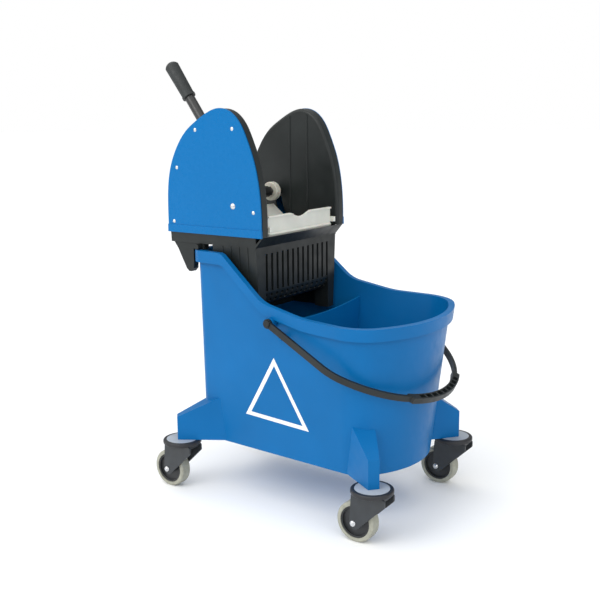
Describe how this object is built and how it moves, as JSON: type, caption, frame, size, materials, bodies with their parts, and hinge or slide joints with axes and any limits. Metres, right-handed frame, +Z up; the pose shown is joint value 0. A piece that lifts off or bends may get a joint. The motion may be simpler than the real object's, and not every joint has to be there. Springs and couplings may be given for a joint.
{
  "type": "mop bucket with down-press wringer",
  "caption": "Two-compartment mop bucket on swivel casters, with a lever-operated down-press wringer hung on its high rear rim and a swinging carrying handle.",
  "frame": {"origin": "on the floor under the middle of the whole object's box", "axes": "+X to the low rounded front of the bucket, +Y to the left, +Z up"},
  "size_m": [0.6657, 0.4052, 0.8649],
  "materials": {
    "blue_plastic": "semi-gloss moulded polyethylene, fine grain",
    "cover_blue": "smooth glossy sheet",
    "black_plastic": "satin glass-filled plastic",
    "black_steel": "satin black powder coat",
    "cream_plastic": "natural nylon",
    "roller_plastic": "natural nylon, slightly worn",
    "zinc_steel": "zinc plated",
    "bumper_grey": "grey moulded disc",
    "bumper_black": "soft black rubber",
    "tyre_grey": "non-marking grey rubber",
    "hub_black": "dark moulded hub",
    "fork_grey": "charcoal satin",
    "grip_rubber": "moulded grip"
  },
  "bodies": {
    "bucket": {"bucket_shell": "blue_plastic", "bail_pin_right": "black_plastic", "bail_pin_left": "black_plastic", "bumper_disc_front_right": "bumper_grey", "bumper_ring_front_right": "bumper_black", "caster_stem_front_right": "zinc_steel", "bumper_disc_front_left": "bumper_grey", "bumper_ring_front_left": "bumper_black", "caster_stem_front_left": "zinc_steel", "bumper_disc_rear_right": "bumper_grey", "bumper_ring_rear_right": "bumper_black", "caster_stem_rear_right": "zinc_steel", "bumper_disc_rear_left": "bumper_grey", "bumper_ring_rear_left": "bumper_black", "caster_stem_rear_left": "zinc_steel"},
    "bail": {"bail_handle": "black_plastic"},
    "wringer": {"wringer_basket": "black_plastic", "front_plate": "cream_plastic", "side_panel_right": "black_plastic", "side_cover_right": "cover_blue", "cover_rivets_right": "zinc_steel", "pivot_bolt_right": "zinc_steel", "return_spring_right": "zinc_steel", "rim_bracket_right": "black_plastic", "retaining_knob_right": "black_plastic", "side_panel_left": "black_plastic", "side_cover_left": "cover_blue", "cover_rivets_left": "zinc_steel", "pivot_bolt_left": "zinc_steel", "return_spring_left": "zinc_steel", "rim_bracket_left": "black_plastic", "retaining_knob_left": "black_plastic"},
    "lever": {"lever_yoke": "black_steel", "cross_shaft": "zinc_steel", "press_plate": "cream_plastic", "press_plate_screws": "zinc_steel", "lever_tube": "black_steel", "lever_grip": "grip_rubber", "yoke_arm_right": "black_steel", "roller_nut_right": "black_steel", "yoke_arm_left": "black_steel", "roller_nut_left": "black_steel"},
    "roller_right": {"press_roller_right": "roller_plastic"},
    "roller_left": {"press_roller_left": "roller_plastic"},
    "swivel_front_right": {"caster_fork_front_right": "fork_grey", "caster_axle_front_right": "zinc_steel"},
    "wheel_front_right": {"wheel_hub_front_right": "hub_black", "wheel_tyre_front_right": "tyre_grey"},
    "swivel_front_left": {"caster_fork_front_left": "fork_grey", "caster_axle_front_left": "zinc_steel"},
    "wheel_front_left": {"wheel_hub_front_left": "hub_black", "wheel_tyre_front_left": "tyre_grey"},
    "swivel_rear_right": {"caster_fork_rear_right": "fork_grey", "caster_axle_rear_right": "zinc_steel"},
    "wheel_rear_right": {"wheel_hub_rear_right": "hub_black", "wheel_tyre_rear_right": "tyre_grey"},
    "swivel_rear_left": {"caster_fork_rear_left": "fork_grey", "caster_axle_rear_left": "zinc_steel"},
    "wheel_rear_left": {"wheel_hub_rear_left": "hub_black", "wheel_tyre_rear_left": "tyre_grey"}
  },
  "joints": [
    {"name": "bail_swing", "type": "hinge", "parent": "bucket", "child": "bail", "pos_m": [0.05024, 0, 0.377], "axis": [0, -1, 0], "range_deg": [0, 113]},
    {"name": "wringer_lift", "type": "slide", "parent": "bucket", "child": "wringer", "axis": [0, 0, 1], "range_m": [0, 0.25]},
    {"name": "lever_press", "type": "hinge", "parent": "wringer", "child": "lever", "pos_m": [-0.04976, 0, 0.585], "axis": [0, -1, 0], "range_deg": [0, 42], "stiffness_Nm_per_rad": 4, "springref_deg": -51.57},
    {"name": "roller_right_spin", "type": "hinge", "parent": "lever", "child": "roller_right", "pos_m": [-0.13276, -0.0931, 0.594], "axis": [0, 1, 0], "continuous": true},
    {"name": "roller_left_spin", "type": "hinge", "parent": "lever", "child": "roller_left", "pos_m": [-0.13276, 0.0931, 0.594], "axis": [0, 1, 0], "continuous": true},
    {"name": "swivel_front_right_turn", "type": "hinge", "parent": "bucket", "child": "swivel_front_right", "pos_m": [0.26924, -0.1636, 0.092], "axis": [0, 0, 1], "continuous": true},
    {"name": "wheel_front_right_spin", "type": "hinge", "parent": "swivel_front_right", "child": "wheel_front_right", "pos_m": [0.24044, -0.1636, 0.0381], "axis": [0, 1, 0], "continuous": true},
    {"name": "swivel_front_left_turn", "type": "hinge", "parent": "bucket", "child": "swivel_front_left", "pos_m": [0.26924, 0.1636, 0.092], "axis": [0, 0, 1], "continuous": true},
    {"name": "wheel_front_left_spin", "type": "hinge", "parent": "swivel_front_left", "child": "wheel_front_left", "pos_m": [0.24044, 0.1636, 0.0381], "axis": [0, 1, 0], "continuous": true},
    {"name": "swivel_rear_right_turn", "type": "hinge", "parent": "bucket", "child": "swivel_rear_right", "pos_m": [-0.18476, -0.1558, 0.092], "axis": [0, 0, 1], "continuous": true},
    {"name": "wheel_rear_right_spin", "type": "hinge", "parent": "swivel_rear_right", "child": "wheel_rear_right", "pos_m": [-0.21356, -0.1558, 0.0381], "axis": [0, 1, 0], "continuous": true},
    {"name": "swivel_rear_left_turn", "type": "hinge", "parent": "bucket", "child": "swivel_rear_left", "pos_m": [-0.18476, 0.1558, 0.092], "axis": [0, 0, 1], "continuous": true},
    {"name": "wheel_rear_left_spin", "type": "hinge", "parent": "swivel_rear_left", "child": "wheel_rear_left", "pos_m": [-0.21356, 0.1558, 0.0381], "axis": [0, 1, 0], "continuous": true}
  ]
}
